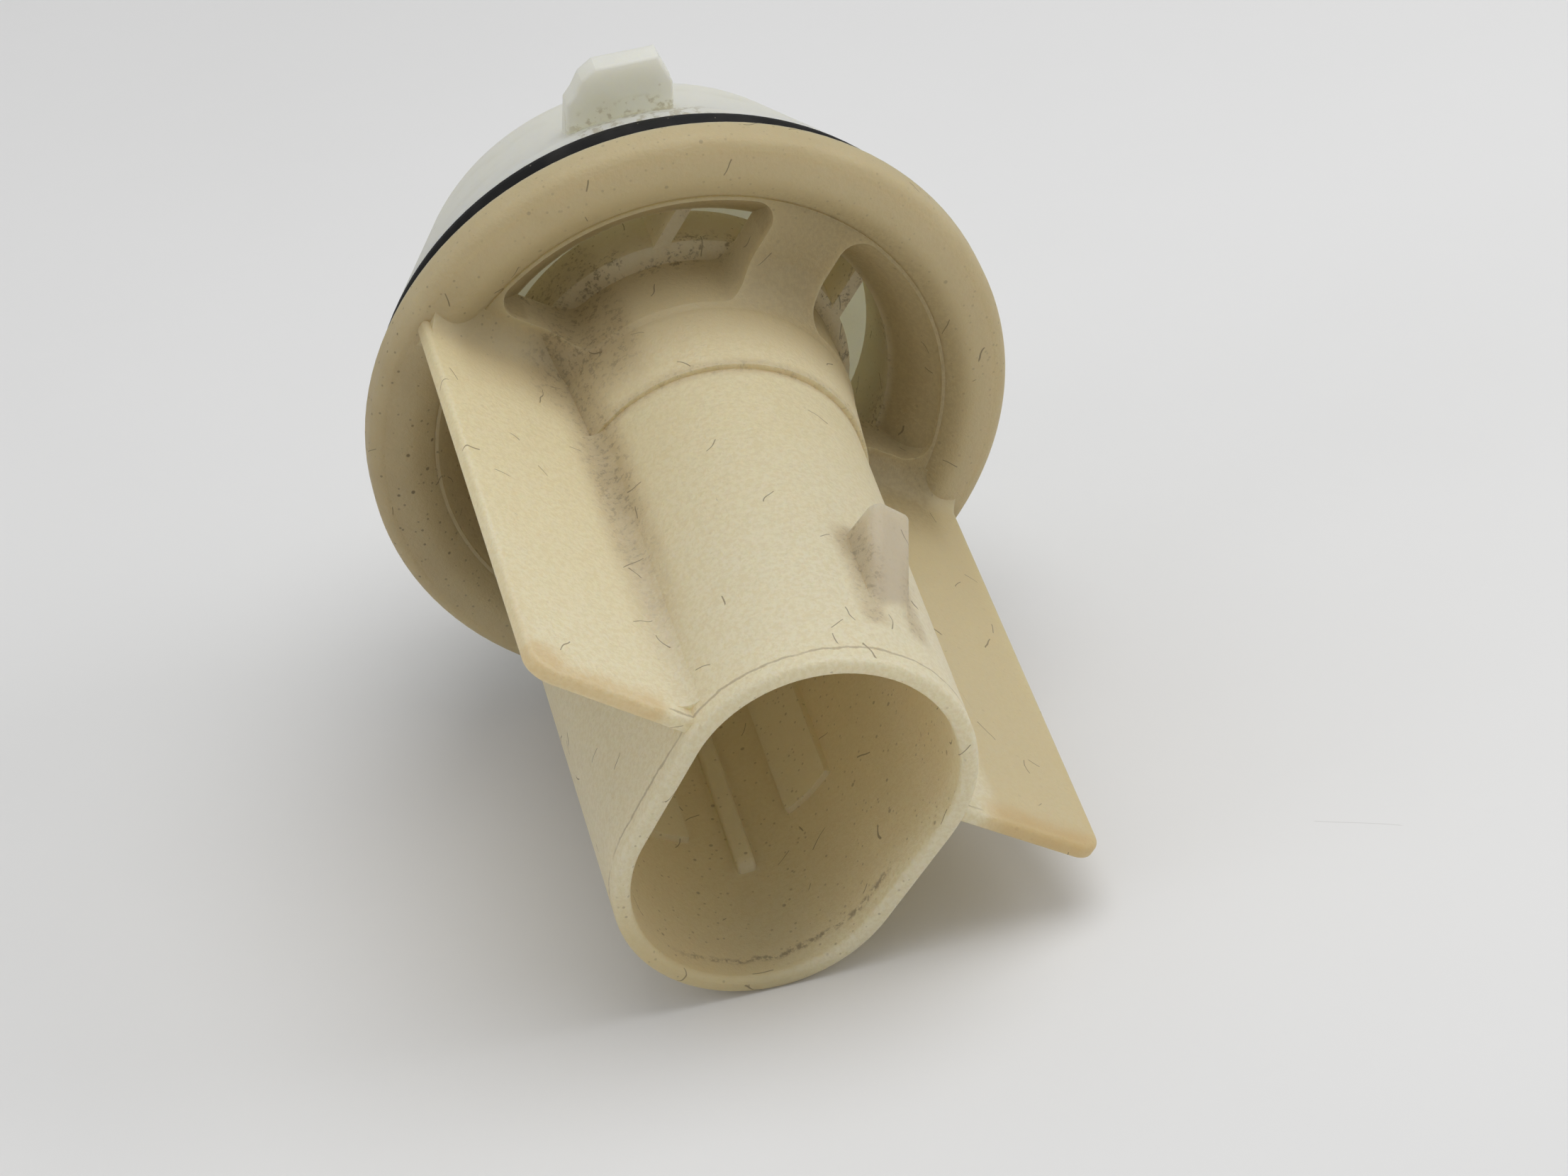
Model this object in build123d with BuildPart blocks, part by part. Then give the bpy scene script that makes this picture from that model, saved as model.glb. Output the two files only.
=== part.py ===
"""Drain-pump strainer plug: a moulded strainer insert, a rubber sealing ring and a twist-lock cap.

Millimetres. The plug's axis is Y: the insert's mouth points to -Y and the cap's grip to +Y. Z is up
through the cap's two bayonet lugs. Depths along the axis are counted from the front of the flange,
positive towards the mouth.
The frame's origin is on the axis, at the middle of the flange's cylindrical edge.
"""

import os
from math import cos, radians, sin

from build123d import *

os.makedirs("parts", exist_ok=True)

# --- overall sizes -------------------------------------------------------------------------------
flange_radius = 38.0
mouth_depth = 66.6
cap_end_depth = -33.0
grip_end_depth = -45.0
wall = 2.0

# --- insert: flange ring -------------------------------------------------------------------------
insert_turn = 36.0  # clockwise from the top lug to the insert's upper spoke, seen from the mouth
flange_back_depth = -4.1
flange_edge_round = 1.7
flange_crown_radius = 33.3
flange_crown_height = 0.5
opening_radius = 29.6
opening_depth = -1.6
sleeve_bore_radius = 25.1
funnel_back_depth = -6.9
sleeve_wall = 2.3
snap_bead_height = 0.9
snap_bead_gap = 0.2
snap_bead_length = 3.0
sleeve_lead = 1.2
step_radius = 34.6
step_depth = -6.55
seat_radius = 32.2
seat_wall = 2.4
seat_end_gap = 0.5

# --- insert: hub, spokes and windows -------------------------------------------------------------
hub_radius = 18.4
hub_step_depth = 14.0
hub_neck_radius = 17.5
skirt_radius = 20.5
skirt_front_depth = -7.4
skirt_end_depth = -14.0
web_front_depth = -0.5
web_back_depth = -6.5
spoke_width = 9.5
window_inner_radius = 18.7
window_outer_radius = 30.0
window_corner = 2.6
flare_height = 4.5
stiffener_offset = 12.0
stiffener_thickness = 1.6
stiffener_front_depth = -7.2

# --- insert: duct (two arcs joined by straight sides) --------------------------------------------
duct_start_depth = 2.0
duct_root_upper_y = -0.35
duct_root_upper_radius = 17.2
duct_root_lower_y = -13.6
duct_root_lower_radius = 16.6
mouth_upper_y = -1.45
mouth_upper_radius = 16.95
mouth_lower_y = -13.86
mouth_lower_radius = 16.3
lip_round = 0.7

# --- insert: wings, key and inner ribs -----------------------------------------------------------
wing_radius_root = 36.4
wing_radius_tip = 35.5
wing_depth = 65.3
left_wing_drop = 1.4
wing_thickness = 1.9
wing_corner = 3.0
wing_edge_round = 0.6
side_cove = 2.4
root_cove = 3.5
cove_end_radius = 35.6
key_angle = 6.0
key_width = 5.4
key_height_radius = 20.9
key_high_depth = 44.0
key_low_depth = 57.5
key_round = 1.3
rib_angle = 38.0
rib_width = 2.2
rib_height = 1.3
rib_round = 0.5
rib_start_depth = 4.0
rib_end_depth = 49.6
pad_height = 0.9
pad_end_depth = 43.5
pad_spans = ((64.0, 92.0), (-22.0, 16.0))

# --- sealing ring --------------------------------------------------------------------------------
ring_section = 4.0
ring_stretch_gap = 0.05
ring_side_gap = 0.05

# --- cap -----------------------------------------------------------------------------------------
cap_front_gap = 0.35
cap_front_radius = 35.0
cap_end_radius = 26.9
cap_wall = 2.2
cap_end_round = 2.0
cap_floor_recess = 1.6
bearing_gap = 0.1
cap_rim_width = 3.3
lug_front_depth = -14.0
lug_thickness = 3.0
lug_root_radius = 32.2
lug_round = 0.35
# outline of the upper lug seen from the mouth, x to the right and y up; the ramped side leads
# as the cap is tightened
lug_points = (
    (4.3, 31.9),
    (4.7, 37.4),
    (3.4, 41.1),
    (-3.9, 41.1),
    (-5.7, 39.9),
    (-6.7, 38.2),
    (-7.7, 37.0),
    (-8.6, 31.0),
)
grip_length = 36.0
grip_width = 9.4
grip_round = 2.4
grip_wall = 2.2

# --- derived sizes -------------------------------------------------------------------------------
ring_middle_radius = seat_radius + ring_stretch_gap + ring_section / 2
cap_front_depth = step_depth - 2 * ring_side_gap - ring_section - cap_front_gap
seat_end_depth = cap_front_depth + seat_end_gap
sleeve_radius = sleeve_bore_radius + sleeve_wall
snap_bead_depth = cap_front_depth - cap_wall - snap_bead_gap
sleeve_end_depth = snap_bead_depth - snap_bead_length - sleeve_lead
bearing_radius = sleeve_radius + bearing_gap
cap_recess_radius = cap_end_radius - cap_rim_width
stiffener_inner = (skirt_radius**2 - stiffener_offset**2) ** 0.5 - wall / 2
stiffener_outer = (sleeve_radius**2 - stiffener_offset**2) ** 0.5 - wall / 2
stiffener_middle = (stiffener_inner + stiffener_outer) / 2
stiffener_span = stiffener_outer - stiffener_inner
key_foot_radius = mouth_upper_y + mouth_upper_radius - 0.3
lower_bore_radius = duct_root_lower_radius - wall
rib_crest_radius = lower_bore_radius - rib_height
pad_radius = lower_bore_radius - pad_height

cove_reach = wing_thickness / 2 + root_cove
cove_top = web_front_depth + root_cove

# --- directions and planes -----------------------------------------------------------------------
datum = -(flange_edge_round - flange_back_depth) / 2
plug_axis = Axis((0, 0, 0), (0, -1, 0))
wing_direction = (cos(radians(insert_turn)), 0, -sin(radians(insert_turn)))
spoke_direction = (sin(radians(insert_turn)), 0, cos(radians(insert_turn)))
against_spoke = tuple(-part for part in spoke_direction)


def insert_across(depth):
    """Plane square to the axis at a depth: x along the right wing, y along the upper spoke."""
    return Plane(origin=(0, datum - depth, 0), x_dir=wing_direction, z_dir=(0, -1, 0))


def cap_across(depth, side=1):
    """Plane square to the axis at a depth: y through the top lug, or with side -1 the lower one."""
    return Plane(origin=(0, datum - depth, 0), x_dir=(side, 0, 0), z_dir=(0, -1, 0))


wing_cross = Plane(origin=(0, datum, 0), x_dir=spoke_direction, z_dir=wing_direction)
insert_along = Plane(origin=(0, datum, 0), x_dir=wing_direction, z_dir=against_spoke)
cap_along = Plane(origin=(0, datum, 0), x_dir=(1, 0, 0), z_dir=(0, 0, -1))


key_direction = (sin(radians(insert_turn + key_angle)), 0, cos(radians(insert_turn + key_angle)))
key_side = (cos(radians(insert_turn + key_angle)), 0, -sin(radians(insert_turn + key_angle)))
key_along = Plane(origin=(0, datum, 0), x_dir=key_direction, z_dir=key_side)

rib_direction = (
    -spoke_direction[0] * cos(radians(rib_angle)) + wing_direction[0] * sin(radians(rib_angle)),
    0,
    -spoke_direction[2] * cos(radians(rib_angle)) + wing_direction[2] * sin(radians(rib_angle)),
)
rib_along = Plane(
    origin=(spoke_direction[0] * duct_root_lower_y, datum, spoke_direction[2] * duct_root_lower_y),
    x_dir=rib_direction,
    z_dir=(rib_direction[2], 0, -rib_direction[0]),
)


def on_lower_arc(radius, angle):
    """Point at a radius from the duct's lower arc centre, its angle from straight down to the right."""
    return (radius * sin(radians(angle)), duct_root_lower_y - radius * cos(radians(angle)))


def duct_section(depth, inset):
    """Outline of the duct at a station: two circles on the y axis, wrapped by their outer tangents."""
    stations = {
        duct_start_depth: (0.0, hub_radius - 0.4, -1.0, hub_radius - 0.4),
        hub_step_depth: (
            duct_root_upper_y,
            duct_root_upper_radius,
            duct_root_lower_y,
            duct_root_lower_radius,
        ),
        mouth_depth: (mouth_upper_y, mouth_upper_radius, mouth_lower_y, mouth_lower_radius),
    }
    upper_y, upper_radius, lower_y, lower_radius = stations[depth]
    upper = upper_radius - inset
    lower = lower_radius - inset
    lean = (upper - lower) / (upper_y - lower_y)
    reach = (1 - lean**2) ** 0.5
    upper_side = (upper * reach, upper_y - upper * lean)
    lower_side = (lower * reach, lower_y - lower * lean)
    with BuildSketch(insert_across(depth)) as section:
        with BuildLine():
            ThreePointArc(upper_side, (0, upper_y + upper), (-upper_side[0], upper_side[1]))
            Line((-upper_side[0], upper_side[1]), (-lower_side[0], lower_side[1]))
            ThreePointArc((-lower_side[0], lower_side[1]), (0, lower_y - lower), lower_side)
            Line(lower_side, upper_side)
        make_face()
    return section.sketch


def cove_section(depth, side):
    """Section across a wing's root: its thickness, widened on each face by an arc tangent to the duct."""
    if depth == hub_step_depth:
        upper_y = duct_root_upper_y
        radius = duct_root_upper_radius
    else:
        upper_y = mouth_upper_y
        radius = mouth_upper_radius
    height = wing_thickness / 2 + side_cove
    reach = ((radius + side_cove) ** 2 - (height - upper_y) ** 2) ** 0.5
    share = radius / (radius + side_cove)
    duct_point = (side * reach * share, upper_y + (height - upper_y) * share)
    with BuildSketch(insert_across(depth)) as section:
        with BuildLine():
            Polyline(
                (side * reach, -wing_thickness / 2),
                (side * reach, wing_thickness / 2),
            )
            RadiusArc((side * reach, wing_thickness / 2), duct_point, side * side_cove)
            Polyline(
                duct_point,
                (side * (radius - wall / 2), duct_point[1]),
                (side * (radius - wall / 2), -height),
                (side * (radius - 0.1), -height),
            )
            RadiusArc(
                (side * (radius - 0.1), -height),
                (side * reach, -wing_thickness / 2),
                side * side_cove,
            )
        make_face()
    return section.sketch


# === strainer insert =============================================================================
with BuildPart() as strainer_insert:
    # web between hub and flange, flared up the hub, then four windows cut through it
    with BuildSketch(insert_along):
        with BuildLine():
            Polyline(
                (hub_radius - wall, flare_height),
                (hub_radius - wall, web_back_depth),
                (opening_radius + 0.8, web_back_depth),
                (opening_radius + 0.8, web_front_depth),
                (window_inner_radius + flare_height, web_front_depth),
            )
            ThreePointArc(
                (window_inner_radius + flare_height, web_front_depth),
                (window_inner_radius + 0.25 * flare_height, 0.25 * flare_height),
                (hub_radius - 0.1, flare_height),
            )
            Line((hub_radius - 0.1, flare_height), (hub_radius - wall, flare_height))
        make_face()
    revolve(axis=plug_axis)
    with BuildSketch(insert_across(web_back_depth - 1.0)) as windows:
        Circle(window_outer_radius)
        Circle(window_inner_radius, mode=Mode.SUBTRACT)
        Rectangle(spoke_width, 2 * flange_radius, mode=Mode.SUBTRACT)
        Rectangle(2 * flange_radius, spoke_width, mode=Mode.SUBTRACT)
        fillet(windows.vertices(), window_corner)
    extrude(amount=flare_height - web_back_depth + 2.0, mode=Mode.SUBTRACT)

    # flange ring, its funnel, the sleeve that carries the cap and the seat of the sealing ring
    with BuildSketch(insert_along):
        with BuildLine():
            RadiusArc(
                (flange_radius - flange_edge_round, 0),
                (flange_radius, -flange_edge_round),
                flange_edge_round,
            )
            Polyline(
                (flange_radius, -flange_edge_round),
                (flange_radius, flange_back_depth),
                (step_radius, flange_back_depth),
                (step_radius, step_depth),
                (seat_radius, step_depth),
                (seat_radius, seat_end_depth),
                (seat_radius - seat_wall, seat_end_depth),
                (seat_radius - seat_wall, flange_back_depth),
                (sleeve_radius, flange_back_depth - wall),
                (sleeve_radius, sleeve_end_depth),
                (sleeve_bore_radius, sleeve_end_depth),
                (sleeve_bore_radius, funnel_back_depth),
                (opening_radius - 0.6, opening_depth - 0.9),
            )
            Spline(
                (opening_radius - 0.6, opening_depth - 0.9),
                (opening_radius + 0.3, opening_depth + 0.3),
                (flange_crown_radius, flange_crown_height),
                (flange_radius - flange_edge_round, 0),
                tangents=((0.55, 0.8), (1, -0.25)),
            )
        make_face()
    revolve(axis=plug_axis)

    # snap bead that holds the cap on the sleeve
    with BuildSketch(insert_along):
        with BuildLine():
            Polyline(
                (sleeve_radius - 0.5, snap_bead_depth - snap_bead_length),
                (sleeve_radius, snap_bead_depth - snap_bead_length),
                (sleeve_radius + snap_bead_height, snap_bead_depth - 1.4),
                (sleeve_radius + snap_bead_height, snap_bead_depth - 0.6),
                (sleeve_radius, snap_bead_depth),
                (sleeve_radius - 0.5, snap_bead_depth),
                close=True,
            )
        make_face()
    revolve(axis=plug_axis)

    # hub: neck, body and the wider skirt behind the web
    with BuildSketch(insert_along):
        with BuildLine():
            Polyline(
                (hub_neck_radius - wall, hub_step_depth),
                (hub_neck_radius, hub_step_depth),
                (hub_radius, flare_height),
                (hub_radius, skirt_front_depth + 1.6),
                (skirt_radius, skirt_front_depth),
                (skirt_radius, skirt_end_depth),
                (skirt_radius - wall, skirt_end_depth),
                (hub_radius - wall, skirt_front_depth),
                close=True,
            )
        make_face()
    revolve(axis=plug_axis)

    # duct from the hub to the mouth
    loft(sections=[duct_section(duct_start_depth, 0), duct_section(hub_step_depth, 0)], ruled=True)
    loft(sections=[duct_section(hub_step_depth, 0), duct_section(mouth_depth, 0)], ruled=True)

    # two flat wings in one plane through the axis
    for side, drop in ((1, 0.0), (-1, left_wing_drop)):
        with BuildSketch(insert_along) as wing_outline:
            with BuildLine():
                Polyline(
                    (side * (hub_radius - wall), web_front_depth - 1.0),
                    (side * wing_radius_root, web_front_depth - 1.0),
                    (side * wing_radius_tip, wing_depth - drop),
                    (side * (hub_radius - wall - 1.0), wing_depth),
                    (side * (hub_radius - wall - 1.0), hub_step_depth),
                    close=True,
                )
            make_face()
            tip = wing_outline.vertices().sort_by_distance((side * wing_radius_tip, wing_depth - drop, 0))[0]
            fillet(tip, wing_corner)
        plate = extrude(amount=wing_thickness / 2, both=True, mode=Mode.PRIVATE)
        broad_faces = plate.faces().sort_by(SortBy.AREA)[-2:]
        add(plate.fillet(wing_edge_round, broad_faces.edges()))

    # coves that blend the wings into the duct and into the front of the spokes and flange
    for side in (1, -1):
        loft(sections=[cove_section(hub_step_depth, side), cove_section(wing_depth - 2.0, side)], ruled=True)
        with BuildSketch(wing_cross):
            with BuildLine():
                Polyline(
                    (-cove_reach, web_front_depth),
                    (-cove_reach, web_front_depth - 1.0),
                    (cove_reach, web_front_depth - 1.0),
                    (cove_reach, web_front_depth),
                )
                RadiusArc((cove_reach, web_front_depth), (wing_thickness / 2, cove_top), root_cove)
                Line((wing_thickness / 2, cove_top), (-wing_thickness / 2, cove_top))
                RadiusArc((-wing_thickness / 2, cove_top), (-cove_reach, web_front_depth), root_cove)
            make_face()
        extrude(amount=side * cove_end_radius)

    # hollow of the duct, the hub and the skirt, open at both ends
    loft(
        sections=[duct_section(duct_start_depth, wall), duct_section(hub_step_depth, wall)],
        ruled=True,
        mode=Mode.SUBTRACT,
    )
    loft(
        sections=[duct_section(hub_step_depth, wall), duct_section(mouth_depth, wall)],
        ruled=True,
        mode=Mode.SUBTRACT,
    )
    with BuildSketch(insert_across(sleeve_end_depth)):
        Circle(hub_radius - wall)
    extrude(amount=duct_start_depth - sleeve_end_depth, mode=Mode.SUBTRACT)


    # stiffeners joining the hub's skirt to the sleeve, either side of the upper and lower spokes
    with BuildSketch(insert_across(skirt_end_depth)):
        for across in (-stiffener_offset, stiffener_offset):
            for along in (-1, 1):
                with Locations((across, along * stiffener_middle)):
                    Rectangle(stiffener_thickness, stiffener_span)
    extrude(amount=stiffener_front_depth - skirt_end_depth)

    # key on top of the duct: full height at its inner end, ramped down to nothing towards the mouth
    with BuildSketch(key_along):
        Polygon(
            (hub_radius - 2 * wall, key_high_depth),
            (key_height_radius, key_high_depth),
            (key_foot_radius, key_low_depth),
            align=None,
        )
    key = extrude(amount=key_width / 2, both=True, mode=Mode.PRIVATE)
    ramp = key.faces().sort_by_distance(key_along.from_local_coords((hub_radius, key_low_depth, 0)))[0]
    add(key.fillet(key_round, ramp.edges().filter_by(Axis((0, 0, 0), key_side), reverse=True)))

    # long rib with a rounded end, inside the lower arc of the duct
    with BuildSketch(rib_along):
        with BuildLine():
            Polyline(
                (rib_crest_radius, rib_end_depth - rib_height),
                (rib_crest_radius, rib_start_depth),
                (rib_crest_radius + rib_height + wall / 2, rib_start_depth),
                (rib_crest_radius + rib_height + wall / 2, rib_end_depth),
                (rib_crest_radius + rib_height, rib_end_depth),
            )
            TangentArc(
                (rib_crest_radius, rib_end_depth - rib_height),
                (rib_crest_radius + rib_height, rib_end_depth),
                tangent=(0, 1),
            )
        make_face()
    rib = extrude(amount=rib_width / 2, both=True, mode=Mode.PRIVATE)
    add(rib.fillet(rib_round, rib.faces().sort_by(SortBy.AREA)[-2:].edges()))

    # raised pads inside the lower arc, either side of the rib
    for start, end in pad_spans:
        with BuildSketch(insert_across(hub_step_depth)):
            with BuildLine():
                ThreePointArc(
                    *[on_lower_arc(pad_radius, angle) for angle in (start, (start + end) / 2, end)]
                )
                Line(on_lower_arc(pad_radius, end), on_lower_arc(pad_radius + pad_height + wall / 2, end))
                ThreePointArc(*[
                    on_lower_arc(pad_radius + pad_height + wall / 2, angle)
                    for angle in (end, (start + end) / 2, start)
                ])
                Line(
                    on_lower_arc(pad_radius + pad_height + wall / 2, start),
                    on_lower_arc(pad_radius, start),
                )
            make_face()
        extrude(amount=pad_end_depth - hub_step_depth)

    # rounded lip of the mouth
    fillet(faces().sort_by(Axis.Y)[0].edges(), lip_round)

strainer_insert.part.label = "strainer_insert"
export_step(strainer_insert.part, "parts/strainer_insert.step")


# === sealing ring ================================================================================
with BuildPart() as sealing_ring:
    with BuildSketch(insert_along):
        with Locations((ring_middle_radius, step_depth - ring_side_gap - ring_section / 2)):
            Circle(ring_section / 2)
    revolve(axis=plug_axis)

sealing_ring.part.label = "sealing_ring"
export_step(sealing_ring.part, "parts/sealing_ring.step")


# === locking cap =================================================================================
with BuildPart() as locking_cap:
    # front wall with its bearing bore, tapering side wall and floor
    with BuildSketch(cap_along) as cap_profile:
        Polygon(
            (bearing_radius, cap_front_depth),
            (cap_front_radius, cap_front_depth),
            (cap_front_radius, cap_front_depth - 1.2),
            (cap_end_radius, cap_end_depth),
            (cap_recess_radius, cap_end_depth),
            (cap_recess_radius - cap_floor_recess, cap_end_depth + cap_floor_recess),
            (0, cap_end_depth + cap_floor_recess),
            (0, cap_end_depth + cap_floor_recess + cap_wall),
            (cap_end_radius - cap_wall, cap_end_depth + cap_floor_recess + cap_wall),
            (cap_front_radius - cap_wall - 0.6, cap_front_depth - cap_wall),
            (bearing_radius, cap_front_depth - cap_wall),
            align=None,
        )
        end_corner = cap_profile.vertices().sort_by_distance((cap_end_radius, cap_end_depth, 0))[0]
        fillet(end_corner, cap_end_round)
        fillet(cap_profile.vertices().sort_by_distance((cap_front_radius, cap_front_depth, 0))[0], 0.5)
    revolve(axis=plug_axis)

    # two bayonet lugs, each with a ramped leading side
    for side in (1, -1):
        with BuildSketch(cap_across(lug_front_depth - lug_thickness, side)):
            with BuildLine():
                Polyline(*lug_points)
                ThreePointArc(lug_points[-1], (0, lug_root_radius), lug_points[0])
            make_face()
        lug = extrude(amount=lug_thickness, mode=Mode.PRIVATE)
        rims = lug.faces().sort_by(SortBy.AREA)[-2:].edges().filter_by(GeomType.LINE)
        add(lug.fillet(lug_round, rims))

    # hollow grip bar standing on the floor
    with BuildSketch(cap_across(grip_end_depth)):
        RectangleRounded(grip_length, grip_width, grip_round)
    extrude(amount=cap_end_depth + cap_floor_recess + cap_wall / 2 - grip_end_depth)
    fillet(faces().sort_by(Axis.Y)[-1].edges(), grip_round / 2)
    with BuildSketch(cap_across(grip_end_depth + grip_wall)):
        RectangleRounded(grip_length - 2 * grip_wall, grip_width - 2 * grip_wall, grip_round / 2)
    grip_hollow = cap_end_depth + cap_floor_recess + 2 * cap_wall - grip_end_depth - grip_wall
    extrude(amount=grip_hollow, mode=Mode.SUBTRACT)

locking_cap.part.label = "locking_cap"
export_step(locking_cap.part, "parts/locking_cap.step")
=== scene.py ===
"""Looks of a drain pump strainer plug: finishes for its insert, ring and cap, on a pale stage."""

import bpy
import numpy as np
from bpy.props import FloatProperty, FloatVectorProperty, PointerProperty
from mathutils import Matrix, Vector

bl_info = {
    "name": "Strainer plug looks",
    "version": (1, 0, 0),
    "blender": (4, 5, 0),
    "location": "3D View > Sidebar > Strainer plug",
    "description": "Finishes and stage for a drain pump strainer plug",
    "category": "Object",
}

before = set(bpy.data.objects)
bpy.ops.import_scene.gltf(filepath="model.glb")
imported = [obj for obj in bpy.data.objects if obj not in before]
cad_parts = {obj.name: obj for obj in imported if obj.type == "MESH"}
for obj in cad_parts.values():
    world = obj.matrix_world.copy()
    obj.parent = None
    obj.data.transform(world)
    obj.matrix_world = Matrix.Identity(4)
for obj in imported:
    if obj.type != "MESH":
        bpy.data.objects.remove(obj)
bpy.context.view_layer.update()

MM = 0.001
MOUTHWARD = (0.0, -1.0, 0.0)
# The insert is turned about the plug's axis. Its right wing and upper spoke point along these row
# directions, and the key beside that spoke is turned a little further.
INSERT_TURN = np.radians(36.0)
WING = (float(np.cos(INSERT_TURN)), 0.0, float(-np.sin(INSERT_TURN)))
SPOKE = (float(np.sin(INSERT_TURN)), 0.0, float(np.cos(INSERT_TURN)))
KEY_TURN = INSERT_TURN + np.radians(6.0)
KEY_SIDE = (float(np.cos(KEY_TURN)), 0.0, float(-np.sin(KEY_TURN)))
# Places on the insert and the cap that the finishes follow, in mm. A depth is counted towards the mouth
# from the flange's front, a height along the upper spoke from the plug's axis.
FLANGE_FRONT = 2.9  # towards the mouth from the row's origin
FLANGE_RIM_RADIUS = 37.6
BEHIND_DEPTH = -7.4  # from here back the plastic is painted paler, as painted light passing through the cap
DUCT_LOW_CENTRE = -13.9  # heights of the duct's two arc centres
DUCT_HIGH_CENTRE = -1.4
DUCT_INNER = 15.6  # radii about those centres, within the wall, that tell its two faces apart
DUCT_OUTER = 16.2
PAD_CENTRE = -13.7  # height about which the pads' angles are counted
RIB_END = 49.4
PAD_END = 43.2
HUB_STEP_RADIUS = 18.5
HUB_STEP_DEPTH = 14.0
KEY_FRONT = 58.0
KEY_BACK = 43.0
KEY_EDGE = 2.9  # a little over half the key's width
WING_ROOT_ACROSS = 17.6
WING_ROOT_HEIGHT = 2.2
WING_CORNER_RADIUS = 34.5
WING_CORNER_DEPTH = 62.5
LIP_DEPTH = 64.4
SKIRT_DEPTH = -7.0
LUG_FOOT_RADIUS = 35.2
# A cell's random colour is compared along the grey axis, on which white lies this far from black.
GREY_AXIS = (0.577, 0.577, 0.577)
GREY_LENGTH = 1.732


# --- node arithmetic -------------------------------------------------------------------------------


class Value:
    """One number flowing through a node tree, so that a finish's formulas read as arithmetic."""

    def __init__(self, tree, socket):
        self.tree = tree
        self.socket = socket

    def math(self, operation, *others):
        """A Math node on this value and others."""
        node = self.tree.nodes.new("ShaderNodeMath")
        node.operation = operation
        for slot, value in zip(node.inputs, (self, *others)):
            join(self.tree, value, slot)
        return Value(self.tree, node.outputs[0])

    def __add__(self, other):
        return self.math("ADD", other)

    def __mul__(self, other):
        return self.math("MULTIPLY", other)

    def __sub__(self, other):
        return self.math("SUBTRACT", other)

    def size(self):
        """The value without its sign."""
        return self.math("ABSOLUTE")

    def squared(self):
        """The value times itself."""
        return self * self

    def root(self):
        """The square root."""
        return self.math("SQRT")

    def least(self, other):
        """The smaller of two values."""
        return self.math("MINIMUM", other)

    def most(self, other):
        """The larger of two values."""
        return self.math("MAXIMUM", other)

    def rise(self, low, high):
        """0 below low, 1 above high, with a smooth step between; falls instead when low is above high."""
        node = self.tree.nodes.new("ShaderNodeMapRange")
        node.interpolation_type = "SMOOTHSTEP"
        join(self.tree, self, node.inputs["Value"])
        flip = low > high
        node.inputs["From Min"].default_value = min(low, high)
        node.inputs["From Max"].default_value = max(low, high)
        node.inputs["To Min"].default_value = 1.0 if flip else 0.0
        node.inputs["To Max"].default_value = 0.0 if flip else 1.0
        return Value(self.tree, node.outputs["Result"])

    def band(self, low, high, soft):
        """1 between low and high, 0 outside them, softened over a width."""
        return self.rise(low - soft, low) * self.rise(high + soft, high)

    def near(self, middle, out, full):
        """1 within full of a middle value, 0 from out away, with a smooth step between."""
        return (self - middle).size().rise(out, full)

    def sway(self, span):
        """Noise from 0 to 1 turned into an offset of up to half a span either way."""
        return (self - 0.5) * span


def distance(one, other):
    """The square root of the sum of two steps' squares, for steps at right angles."""
    return (one.squared() + other.squared()).root()


def join(tree, value, slot):
    """Links a value to a socket, or sets the socket when the value is a plain number or colour."""
    if hasattr(value, "socket"):
        tree.links.new(value.socket, slot)
    elif slot.type == "RGBA":
        slot.default_value = (*value, 1.0)
    else:
        slot.default_value = value


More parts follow.
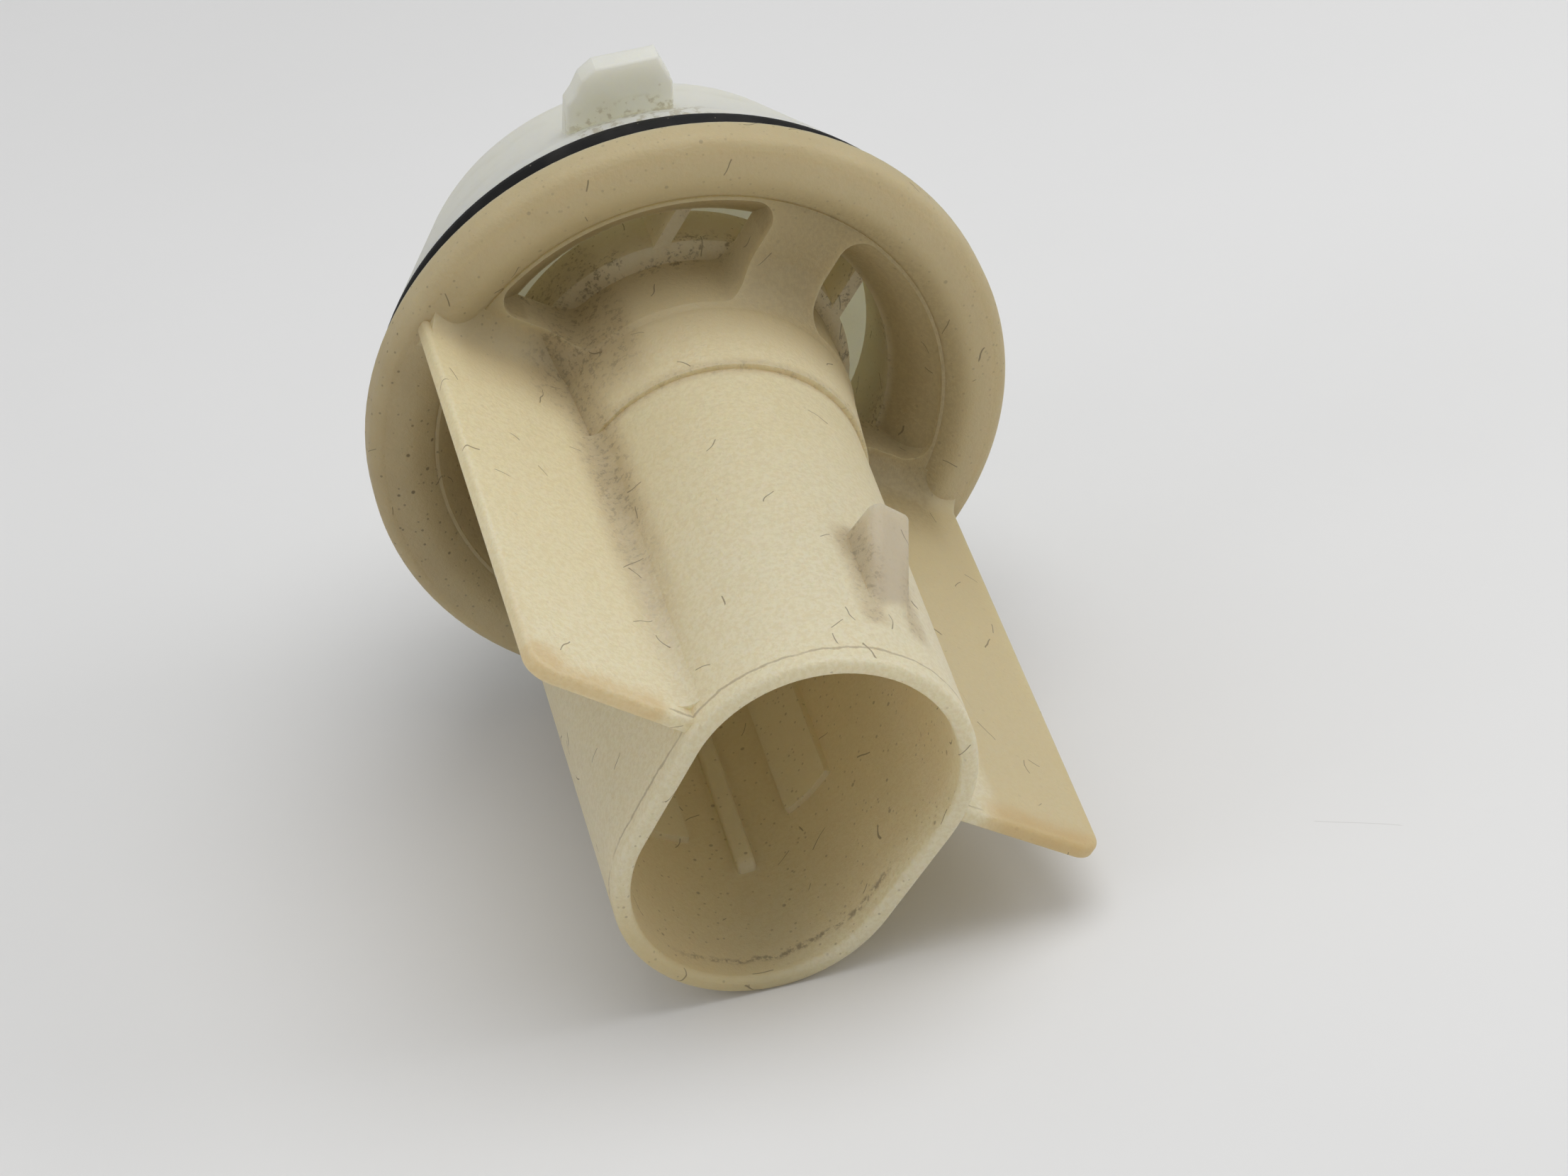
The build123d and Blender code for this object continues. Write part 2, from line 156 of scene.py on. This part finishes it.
class Finish:
    """A material under construction, with positions in millimetres on the row's own axes."""

    def __init__(self, name):
        self.material = bpy.data.materials.new(name)
        self.material.use_nodes = True
        self.tree = self.material.node_tree
        self.tree.nodes.clear()
        self.shader = self.tree.nodes.new("ShaderNodeBsdfPrincipled")
        self.output = self.tree.nodes.new("ShaderNodeOutputMaterial")
        self.tree.links.new(self.shader.outputs["BSDF"], self.output.inputs["Surface"])
        coordinates = self.tree.nodes.new("ShaderNodeTexCoord")
        self.place = self.vector("SCALE", Value(self.tree, coordinates.outputs["Object"]), scale=1 / MM)

    def vector(self, operation, *values, scale=None, output=0):
        """A Vector Math node."""
        node = self.tree.nodes.new("ShaderNodeVectorMath")
        node.operation = operation
        for slot, value in zip(node.inputs, values):
            join(self.tree, value, slot)
        if scale is not None:
            node.inputs["Scale"].default_value = scale
        return Value(self.tree, node.outputs[output])

    def along(self, direction):
        """How far a place lies along a direction, in mm."""
        return self.vector("DOT_PRODUCT", self.place, direction, output="Value")

    def noise(self, size, detail, roughness, shift=0.0):
        """Noise whose lumps are about size mm across, from 0 to 1; the shift picks another pattern."""
        place = self.vector("ADD", self.place, (shift, shift * 0.7, shift * 1.3))
        node = self.tree.nodes.new("ShaderNodeTexNoise")
        join(self.tree, place, node.inputs["Vector"])
        node.inputs["Scale"].default_value = 1.0 / size
        node.inputs["Detail"].default_value = detail
        node.inputs["Roughness"].default_value = roughness
        return Value(self.tree, node.outputs["Fac"])

    def cells(self, size, shift, wander=0.0):
        """Cells about size mm across: the offset from a cell's middle and the cell's random colour.

        A wander bends the cells by that share of their size, which curls what is drawn in them.
        """
        place = self.vector("ADD", self.place, (shift, -shift, shift * 0.5))
        if wander:
            bend = self.tree.nodes.new("ShaderNodeTexNoise")
            join(self.tree, place, bend.inputs["Vector"])
            bend.inputs["Scale"].default_value = 1.2 / size
            bend.inputs["Detail"].default_value = 1.0
            push = self.vector("SUBTRACT", Value(self.tree, bend.outputs["Color"]), (0.5, 0.5, 0.5))
            place = self.vector("ADD", place, self.vector("SCALE", push, scale=wander * size))
        node = self.tree.nodes.new("ShaderNodeTexVoronoi")
        join(self.tree, place, node.inputs["Vector"])
        node.inputs["Scale"].default_value = 1.0 / size
        middle = Value(self.tree, node.outputs["Position"])
        return self.vector("SUBTRACT", place, middle), Value(self.tree, node.outputs["Color"])

    def pick(self, colour, density):
        """1 in some of the cells, told from each one's random colour; more of them for a density near 1."""
        brightness = self.vector("DOT_PRODUCT", colour, GREY_AXIS, output="Value")
        limit = GREY_LENGTH * (1.0 - density) * 0.62
        return brightness.rise(limit, limit + 0.02)

    def fibres(self, size, length, thickness, density, shift):
        """Short curled hairs: thin discs in some cells, each turned its own way, cut by the surface."""
        offset, colour = self.cells(size, shift, wander=0.5)
        facing = self.vector("NORMALIZE", self.vector("SUBTRACT", colour, (0.5, 0.5, 0.5)))
        across = self.vector("DOT_PRODUCT", offset, facing, output="Value").size()
        reach = self.vector("LENGTH", offset, output="Value")
        hair = across.rise(thickness, thickness * 0.4) * reach.rise(length, length * 0.9)
        return hair * self.pick(colour, density)

    def specks(self, size, radius, density, shift):
        """Small round dots in some of the cells."""
        offset, colour = self.cells(size, shift)
        reach = self.vector("LENGTH", offset, output="Value")
        return reach.rise(radius, radius * 0.55) * self.pick(colour, density)

    def blend(self, amount, under, over):
        """A colour between under and over."""
        node = self.tree.nodes.new("ShaderNodeMix")
        node.data_type = "RGBA"
        join(self.tree, amount, node.inputs[0])
        for value, slot in ((under, node.inputs[6]), (over, node.inputs[7])):
            join(self.tree, value, slot)
        return Value(self.tree, node.outputs[2])

    def relief(self, *layers):
        """Bump from layers of (height value, height in mm)."""
        height = layers[0][0] * layers[0][1]
        for layer, tall in layers[1:]:
            height = height + layer * tall
        node = self.tree.nodes.new("ShaderNodeBump")
        node.inputs["Distance"].default_value = MM
        join(self.tree, height, node.inputs["Height"])
        self.tree.links.new(node.outputs["Normal"], self.shader.inputs["Normal"])

    def glow(self, weight, radius, scale):
        """Light spread sideways inside the plastic."""
        join(self.tree, weight, self.shader.inputs["Subsurface Weight"])
        self.shader.inputs["Subsurface Radius"].default_value = radius
        self.shader.inputs["Subsurface Scale"].default_value = scale

    def pass_light(self, colour, share):
        """Light that passes through the plastic's thin walls, in a colour and for a share of the surface."""
        through = self.tree.nodes.new("ShaderNodeBsdfTranslucent")
        join(self.tree, colour, through.inputs["Color"])
        mix = self.tree.nodes.new("ShaderNodeMixShader")
        join(self.tree, share, mix.inputs[0])
        self.tree.links.new(self.shader.outputs["BSDF"], mix.inputs[1])
        self.tree.links.new(through.outputs["BSDF"], mix.inputs[2])
        self.tree.links.new(mix.outputs[0], self.output.inputs["Surface"])

    def wear(self, piece):
        """Puts the finish on a piece."""
        piece.data.materials.clear()
        piece.data.materials.append(self.material)


# --- settings --------------------------------------------------------------------------------------


def colour_setting(name, description, default):
    """A colour property."""
    return FloatVectorProperty(
        name=name, description=description, subtype="COLOR", size=3, min=0, max=1, default=default
    )


def power_setting(name, description, default):
    """A lamp's power in watts."""
    return FloatProperty(name=name, description=description, unit="POWER", default=default, min=0)


class InsertLooks(bpy.types.PropertyGroup):
    """Colours of the strainer insert."""

    # the palest plastic colour is also painted onto the duct's pads and rib as painted light
    clean: colour_setting("Clean plastic", "Palest plastic, near the mouth", (0.88, 0.82, 0.64))
    aged: colour_setting("Aged plastic", "Yellowed plastic of the hub and wings", (0.86, 0.77, 0.54))
    # also used for the painted shade on the mouth's lower lip, by the floor
    tan: colour_setting("Stained plastic", "Brown stain of the flange", (0.64, 0.54, 0.32))
    amber: colour_setting("Amber residue", "Deposit on the wings' front edges", (0.58, 0.37, 0.13))
    # painted light: plastic behind the flange, painted paler for light passing through the cap
    painted_backlight: colour_setting("Sheltered plastic", "Plastic behind the flange", (0.97, 0.91, 0.76))
    # painted shade, with some grime in it: the brown of the hub's corners and the funnel
    shade: colour_setting("Shaded stain", "Brown of the hub's corners and the funnel", (0.33, 0.25, 0.12))
    worn: colour_setting("Worn key", "Greyed plastic of the key", (0.56, 0.50, 0.40))
    # also darkens the flange at its rim and towards its lower left
    film: colour_setting("Film", "Brown film in the corners", (0.30, 0.22, 0.12))
    grime: colour_setting("Grime", "Dark dirt, specks and hairs", (0.10, 0.07, 0.04))
    through: colour_setting("Passed light", "Colour of light through the walls", (0.99, 0.92, 0.72))


class CapLooks(bpy.types.PropertyGroup):
    """Colours of the locking cap."""

    plastic: colour_setting("Plastic", "Clean natural plastic", (0.93, 0.93, 0.84))
    dust: colour_setting("Dust", "Thin dirt on the cap", (0.40, 0.34, 0.24))
    through: colour_setting("Passed light", "Colour of light through the walls", (0.99, 0.98, 0.88))


class RingLooks(bpy.types.PropertyGroup):
    """Colours of the sealing ring."""

    rubber: colour_setting("Rubber", "Black rubber", (0.006, 0.006, 0.006))
    bloom: colour_setting("Bloom", "Grey film on the rubber", (0.020, 0.019, 0.018))


class StageLooks(bpy.types.PropertyGroup):
    """Floor, lights and camera."""

    floor: colour_setting("Floor", "Pale floor", (0.80, 0.80, 0.80))
    camera_lens: FloatProperty(
        name="Lens", description="Focal length on a 36 mm sensor, in mm", default=95.42, min=20
    )
    sky: FloatProperty(name="Sky", description="Strength of the light from all round", default=0.50, min=0)
    top_power: power_setting("Top light", "Power of the overhead panel", 2.4)
    left_power: power_setting("Left light", "Power of the left panel", 0.6)
    right_power: power_setting("Right light", "Power of the right panel", 1.3)


# --- finishes --------------------------------------------------------------------------------------


class PLUG_OT_insert_finish(bpy.types.Operator):
    """Aged translucent plastic for the insert, darker towards the cap, with grime in its corners, painted
    shade round the hub and in the funnel, and painted light on the duct's pads and behind the flange
    """

    bl_idname = "plug.insert_finish"
    bl_label = "Insert finish"

    def execute(self, context):
        """Builds the finish and puts it on the insert."""
        looks = context.scene.insert_looks
        f = Finish("aged_nylon")
        across = f.along(WING)
        up = f.along(SPOKE)
        beside_key = f.along(KEY_SIDE).size()
        depth = f.along(MOUTHWARD) - FLANGE_FRONT
        radius = distance(across, up)
        # distance from the line between the duct's two arc centres tells its inside from its outside
        centre = up.most(DUCT_LOW_CENTRE).least(DUCT_HIGH_CENTRE)
        duct_radius = distance(across, up - centre)
        inside = duct_radius.rise(DUCT_INNER + 0.4, DUCT_INNER) * depth.rise(-20.0, -16.0)
        level = up.size().rise(1.8, 1.2)
        wing = radius.rise(19.0, 21.0) * level

        cloud = f.noise(14.0, 2.0, 0.6)
        mottle = f.noise(3.0, 3.0, 0.65, shift=11.0)
        grain = f.noise(0.55, 2.0, 0.7, shift=5.0)
        broken = f.noise(5.0, 2.0, 0.6, shift=31.0)
        patchy = f.noise(0.9, 3.0, 0.7, shift=21.0)

        # pale at the mouth, yellowed towards the flange, brown on the flange and inside the duct
        colour = f.blend((depth + cloud.sway(22.0)).rise(14.0, 62.0), looks.aged, looks.clean)
        behind = depth.rise(BEHIND_DEPTH + 1.4, BEHIND_DEPTH) * radius.rise(29.6, 28.8)
        before = behind.rise(1.0, 0.0)
        flange = (radius + mottle.sway(2.0)).rise(22.0, 31.0) * depth.rise(5.0, 0.5) * before
        stain = (flange * 0.8).most(depth.rise(16.0, 0.0) * before * 0.5)
        stain = stain.most(inside * depth.rise(65.5, 61.0) * 0.45)
        colour = f.blend(stain * (cloud * 0.5 + 0.75), colour, looks.tan)
        # the right wing is darker brown, more so towards the flange
        right_wing = across.rise(20.5, 23.0) * level
        colour = f.blend(right_wing * (depth.rise(34.0, 10.0) * 0.2 + 0.75), colour, looks.tan)
        # painted shade, with some grime in it: the corners round the hub and spokes and the funnel behind
        # the flange are the darkest
        recess = depth.rise(13.0, 1.0) * radius.band(17.0, 31.0, 3.0) * (across.rise(-14.0, 4.0) * 0.5 + 0.5)
        funnel = radius.rise(24.4, 25.4) * radius.rise(31.0, 29.0) * depth.band(-7.5, -1.6, 1.0)
        colour = f.blend(recess.most(funnel) * 0.75, colour, looks.shade)
        # painted light: the plastic behind the flange is painted paler, for light passing through the cap
        colour = f.blend(behind * 0.85, colour, looks.painted_backlight)
        sandy = grain.rise(0.62, 0.36) * (behind * -0.5 + 1.0)
        colour = f.blend(sandy * 0.36, colour, looks.tan)
        key = beside_key.rise(3.1, 2.5) * up.rise(15.7, 16.4) * depth.band(KEY_BACK, KEY_FRONT, 1.0)
        colour = f.blend(key * 0.85, colour, looks.worn)
        # painted light: the flat pads and the rib inside the duct are painted paler than the wall round
        # them, for their lit faces; their places are angles in radians about the lower arc's centre, counted
        # from the way against the upper spoke
        lean = across.math("ARCTAN2", (up - PAD_CENTRE) * -1.0)
        pads = lean.band(1.12, 1.60, 0.02) + lean.band(-0.38, 0.28, 0.02)
        pads = pads * depth.rise(PAD_END + 0.8, PAD_END)
        rib = lean.band(0.58, 0.75, 0.02) * depth.rise(RIB_END + 0.8, RIB_END)
        colour = f.blend(inside * (pads + rib) * 0.55, colour, looks.clean)
        # painted shade: the mouth's lower lip, low by the floor, is darkened with the stained brown
        lower_lip = up.rise(-18.0, -29.0) * depth.rise(58.0, 66.0)
        colour = f.blend(lower_lip * 0.9, colour, looks.tan)

        # amber residue on the wings' front and outer edges and the left wing's front corner
        front = (depth + mottle.sway(2.6)).rise(60.8, 64.6) * wing
        outer = (radius + mottle.sway(2.0)).rise(33.4, 35.8) * wing * depth.rise(36.0, 62.0) * 0.5
        corner = distance(radius - WING_CORNER_RADIUS, depth - WING_CORNER_DEPTH)
        worn = (corner + mottle.sway(6.0)).rise(5.0, 1.5) * wing * across.rise(0.0, -1.0)
        amber = front.most(outer).most(worn) * (broken * 0.7 + 0.35)
        colour = f.blend(amber.least(1.0) * 0.7, colour, looks.amber)

        # soft brown film in the corners: wing roots, hub corner, hub step and key; and the flange darker
        # brown at its rim and towards its lower left
        root_gap = distance(across.size() - WING_ROOT_ACROSS, up.size() - WING_ROOT_HEIGHT)
        upper_left = up.rise(-0.5, 0.8) * across.rise(0.0, -1.0)
        wing_root = root_gap.rise(4.2, 0.6) * depth.rise(63.0, 22.0) * (upper_left * 0.7 + 0.3)
        hub_corner = across.near(-18.0, 8.0, 2.0) * depth.rise(14.0, 3.0) * up.band(0.5, 9.0, 3.0)
        on_step = radius.rise(16.0, 16.6) * radius.rise(HUB_STEP_RADIUS + 1.0, HUB_STEP_RADIUS)
        hub_step = depth.near(HUB_STEP_DEPTH, 1.5, 0.2) * on_step
        on_key = depth.band(KEY_BACK + 1.0, KEY_FRONT, 2.5) * up.rise(13.2, 14.5) * up.rise(19.6, 17.0)
        key_foot = beside_key.near(KEY_EDGE, 2.4, 0.2) * on_key
        film = (wing_root * 0.75).most(hub_corner * 0.8).most(hub_step * 0.45).most(key_foot * 0.7)
        film = film * (broken * 0.9 + 0.3)
        rim = radius.near(FLANGE_RIM_RADIUS, 1.2, 0.2) * depth.rise(2.0, 0.5)
        low_left = across.rise(-4.0, -22.0) * up.rise(14.0, -8.0)
        flange_brown = (rim * 0.3).most(flange * low_left * 0.55) * (broken * 0.9 + 0.35)
        colour = f.blend(film.most(flange_brown).least(1.0) * 0.75, colour, looks.film)

        # dark dirt: grains in the film, thin lines at the lip, patches on the skirt's ledge, specks, hairs
        lip_wave = broken.sway(1.6) + patchy.sway(0.5)
        outside = duct_radius.rise(DUCT_OUTER - 0.3, DUCT_OUTER) * wing.rise(0.4, 0.0)
        lip_line = (depth + lip_wave).near(LIP_DEPTH, 0.26, 0.06) * outside * broken.rise(0.30, 0.5)
        lower_side = up.rise(-8.0, -12.0) * across.rise(-4.0, 2.0)
        inside_lip = (depth + lip_wave).near(LIP_DEPTH - 0.8, 0.7, 0.1) * inside * lower_side
        ledge = depth.near(SKIRT_DEPTH, 3.4, 0.6) * radius.band(18.5, 25.0, 0.6) * broken.rise(0.42, 0.62)
        dirt = film * patchy.rise(0.46, 0.62) * grain.rise(0.40, 0.58) * 0.75
        dirt = dirt.most(lip_line * 0.42).most(inside_lip * patchy.rise(0.42, 0.6) * 0.6)
        dirt = dirt.most(ledge * patchy.rise(0.47, 0.62) * grain.rise(0.38, 0.56) * 0.8)
        dusty = flange * (low_left * 0.75 + 0.25) + inside * 0.5 + behind * 0.6 + film * 0.6 + 0.12
        dusty = dusty.least(1.0)
        dots = f.specks(1.1, 0.2, 0.8, 27.0) * dusty * broken.rise(0.3, 0.55)
        specks = f.specks(3.0, 0.3, 0.42, 7.0) * dusty
        hairs = f.fibres(5.5, 1.3, 0.075, 0.45, 2.0)
        dirt = dirt.most(dots * 0.6).most(specks * 0.8).most(hairs * 0.7)
        colour = f.blend(dirt, colour, looks.grime)
        join(f.tree, colour, f.shader.inputs["Base Color"])

        rough = mottle * 0.16 + 0.38 + dirt * 0.35 + flange * 0.08
        join(f.tree, rough, f.shader.inputs["Roughness"])
        f.shader.inputs["IOR"].default_value = 1.5
        f.glow(0.5, (1.0, 0.72, 0.40), 0.005)
        f.relief((grain, 0.14), (mottle, 0.12))
        f.pass_light(f.blend(dirt * 0.5, looks.through, looks.grime), behind * 0.25 + 0.34)
        f.wear(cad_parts["strainer_insert"])
        return {"FINISHED"}


class PLUG_OT_ring_finish(bpy.types.Operator):
    """Matte black rubber with a grey bloom for the sealing ring"""

    bl_idname = "plug.ring_finish"
    bl_label = "Ring finish"

    def execute(self, context):
        """Builds the finish and puts it on the ring."""
        looks = context.scene.ring_looks
        f = Finish("black_rubber")
        bloom = f.noise(4.0, 4.0, 0.6)
        grain = f.noise(0.25, 2.0, 0.5, shift=4.0)
        dust = f.specks(1.6, 0.12, 0.3, 3.0)
        colour = f.blend(bloom.rise(0.35, 0.75), looks.rubber, looks.bloom)
        colour = f.blend(dust * 0.6, colour, (0.28, 0.25, 0.2))
        join(f.tree, colour, f.shader.inputs["Base Color"])
        join(f.tree, bloom * 0.2 + 0.55, f.shader.inputs["Roughness"])
        f.shader.inputs["Specular IOR Level"].default_value = 0.2
        f.relief((grain, 0.02), (bloom, 0.05))
        f.wear(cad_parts["sealing_ring"])
        return {"FINISHED"}


class PLUG_OT_cap_finish(bpy.types.Operator):
    """Clean natural plastic for the cap, with a little dust and darker patches round its lugs' foot"""

    bl_idname = "plug.cap_finish"
    bl_label = "Cap finish"

    def execute(self, context):
        """Builds the finish and puts it on the cap."""
        looks = context.scene.cap_looks
        f = Finish("natural_nylon")
        across = f.along((1.0, 0.0, 0.0))
        up = f.along((0.0, 0.0, 1.0))
        cloud = f.noise(10.0, 2.0, 0.6)
        mottle = f.noise(1.6, 3.0, 0.65, shift=9.0)
        grain = f.noise(0.35, 2.0, 0.6, shift=2.0)
        # darker patches in a band round the lugs' foot
        lug_foot = distance(across, up).near(LUG_FOOT_RADIUS, 1.8, 0.3) * across.size().rise(10.0, 6.0)
        specks = f.specks(2.2, 0.2, 0.25, 5.0)
        hairs = f.fibres(9.0, 1.3, 0.08, 0.4, 12.0)
        dirt = (lug_foot * mottle.rise(0.48, 0.62) * 0.7).most(specks * 0.35).most(hairs * 0.5)
        dirt = dirt.most(cloud.rise(0.5, 0.8) * 0.18)
        colour = f.blend(dirt, looks.plastic, looks.dust)
        join(f.tree, colour, f.shader.inputs["Base Color"])
        join(f.tree, mottle * 0.14 + 0.36 + dirt * 0.3, f.shader.inputs["Roughness"])
        f.glow(0.7, (1.0, 0.90, 0.65), 0.006)
        f.relief((grain, 0.03), (mottle, 0.08))
        f.pass_light(looks.through, 0.32)
        f.wear(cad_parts["locking_cap"])
        return {"FINISHED"}


# --- stage -----------------------------------------------------------------------------------------

# The plug lies on its lower lug and the lowest point of its mouth, so the floor leans against the
# row's axes. Lengths of the stage are in metres.
FLOOR_UP = Vector((0.0, 0.163, 0.987)).normalized()
LUG_TIP = Vector((0.0, 0.0141, -0.0411))
FLOOR_GAP = 0.0002
CAMERA_PLACE = Vector((-0.0539, -0.3923, 0.2836))
CAMERA_RIGHT = Vector((0.969, -0.2291, -0.0935))
CAMERA_UP = Vector((0.2143, 0.5877, 0.7803))
SENSOR_WIDTH = 36.0  # mm


def floor_surface(flat_radius, sweep, turns, rings):
    """A round floor on a polar grid: flat to a radius, then a quarter circle of radius sweep upwards.

    Along the grid the height is sweep times one less the cosine of the angle risen.
    """
    along = np.linspace(0.0, 1.0, rings)
    flat = np.clip(along * 2.0, 0.0, 1.0) * flat_radius
    rise = np.clip(along * 2.0 - 1.0, 0.0, 1.0) * np.pi / 2
    reach = flat + sweep * np.sin(rise)
    height = sweep * (1.0 - np.cos(rise))
    turn = np.linspace(0.0, 2 * np.pi, turns, endpoint=False)
    points = np.stack([
        np.outer(reach, np.cos(turn)),
        np.outer(reach, np.sin(turn)),
        np.outer(height, np.ones(turns)),
    ], axis=-1)[1:].reshape(-1, 3)
    points = np.vstack([[0.0, 0.0, 0.0], points])
    row, column = np.meshgrid(np.arange(rings - 2), np.arange(turns), indexing="ij")
    following = (column + 1) % turns
    start = 1 + row * turns
    outer = start + turns
    quads = np.stack([start + column, outer + column, outer + following, start + following], axis=-1)
    fan = [(0, 1 + k, 1 + (k + 1) % turns) for k in range(turns)]
    return points, [*fan, *quads.reshape(-1, 4).tolist()]


class PLUG_OT_stage(bpy.types.Operator):
    """Pale floor, soft lights and the camera"""

    bl_idname = "plug.stage"
    bl_label = "Stage"

    def execute(self, context):
        """Builds the stage."""
        looks = context.scene.stage_looks
        scene = context.scene
        side = Vector((1.0, 0.0, 0.0))
        to_row = Matrix((side, FLOOR_UP.cross(side), FLOOR_UP)).transposed().to_4x4()
        to_row.translation = LUG_TIP - FLOOR_UP * FLOOR_GAP
        self.floor(looks, to_row)
        self.lights(looks, to_row)
        self.camera(looks)
        scene.view_settings.view_transform = "Standard"
        return {"FINISHED"}

    def floor(self, looks, to_row):
        """Lays the floor."""
        points, faces = floor_surface(flat_radius=1.1, sweep=0.9, turns=96, rings=40)
        mesh = bpy.data.meshes.new("pale_floor")
        mesh.from_pydata(points.tolist(), [], faces)
        mesh.transform(to_row)
        mesh.polygons.foreach_set("use_smooth", [True] * len(mesh.polygons))
        piece = bpy.data.objects.new("pale_floor", mesh)
        bpy.context.scene.collection.objects.link(piece)
        f = Finish("pale_paper")
        cloud = f.noise(120.0, 3.0, 0.55)
        mottle = f.noise(9.0, 4.0, 0.6, shift=3.0)
        hairs = f.fibres(70.0, 7.0, 0.12, 0.35, 8.0)
        colour = f.blend(cloud.rise(0.3, 0.8) * 0.10 + mottle * 0.03, looks.floor, (0.62, 0.62, 0.60))
        colour = f.blend(hairs * 0.25, colour, (0.35, 0.34, 0.32))
        join(f.tree, colour, f.shader.inputs["Base Color"])
        f.shader.inputs["Roughness"].default_value = 0.85
        f.shader.inputs["Specular IOR Level"].default_value = 0.2
        f.wear(piece)

    def lights(self, looks, to_row):
        """Hangs three soft panels, which face the plug, and an even sky."""
        world = bpy.data.worlds.new("soft_sky")
        world.use_nodes = True
        backing = world.node_tree.nodes["Background"]
        backing.inputs["Color"].default_value = (1.0, 1.0, 1.0, 1.0)
        backing.inputs["Strength"].default_value = looks.sky
        bpy.context.scene.world = world
        panels = (
            ("top_panel", (0.15, -0.05, 0.75), 0.7, looks.top_power),
            ("left_panel", (-0.75, -0.30, 0.50), 0.5, looks.left_power),
            ("right_panel", (0.75, -0.10, 0.45), 0.5, looks.right_power),
        )
        for name, place, size, power in panels:
            light = bpy.data.lights.new(name, "AREA")
            light.shape = "DISK"
            light.size = size
            light.energy = power
            piece = bpy.data.objects.new(name, light)
            turn = Vector(place).to_track_quat("Z", "Y").to_matrix().to_4x4()
            piece.matrix_world = to_row @ Matrix.Translation(place) @ turn
            bpy.context.scene.collection.objects.link(piece)

    def camera(self, looks):
        """Places the camera from its right and up directions."""
        lens = bpy.data.cameras.new("camera")
        lens.sensor_fit = "HORIZONTAL"
        lens.sensor_width = SENSOR_WIDTH
        lens.lens = looks.camera_lens
        lens.clip_start = 0.01
        piece = bpy.data.objects.new("camera", lens)
        right = CAMERA_RIGHT.normalized()
        back = right.cross(CAMERA_UP).normalized()
        up = back.cross(right)
        facing = Matrix((right, up, back)).transposed().to_4x4()
        piece.matrix_world = Matrix.Translation(CAMERA_PLACE) @ facing
        bpy.context.scene.collection.objects.link(piece)
        bpy.context.scene.camera = piece


class PLUG_PT_looks(bpy.types.Panel):
    """Lists the plug's finishes and its stage"""

    bl_idname = "PLUG_PT_looks"
    bl_label = "Strainer plug"
    bl_space_type = "VIEW_3D"
    bl_region_type = "UI"
    bl_category = "Strainer plug"

    def draw(self, context):
        """Draws each group of settings above its operator."""
        for group, operator in GROUPS:
            box = self.layout.box()
            settings = getattr(context.scene, group)
            for name in settings.__annotations__:
                box.prop(settings, name)
            box.operator(operator.bl_idname)


GROUPS = (
    ("insert_looks", PLUG_OT_insert_finish),
    ("ring_looks", PLUG_OT_ring_finish),
    ("cap_looks", PLUG_OT_cap_finish),
    ("stage_looks", PLUG_OT_stage),
)
SETTINGS = {
    "insert_looks": InsertLooks,
    "ring_looks": RingLooks,
    "cap_looks": CapLooks,
    "stage_looks": StageLooks,
}
CLASSES = (*SETTINGS.values(), *(operator for _, operator in GROUPS), PLUG_PT_looks)


def register():
    """Registers the settings, operators and panel."""
    for cls in CLASSES:
        bpy.utils.register_class(cls)
    for name, cls in SETTINGS.items():
        setattr(bpy.types.Scene, name, PointerProperty(type=cls))


def unregister():
    """Takes them away again."""
    for name in SETTINGS:
        delattr(bpy.types.Scene, name)
    for cls in reversed(CLASSES):
        bpy.utils.unregister_class(cls)


def main():
    """Builds every finish and the stage."""
    register()
    bpy.ops.plug.insert_finish()
    bpy.ops.plug.ring_finish()
    bpy.ops.plug.cap_finish()
    bpy.ops.plug.stage()


if __name__ == "__main__":
    main()
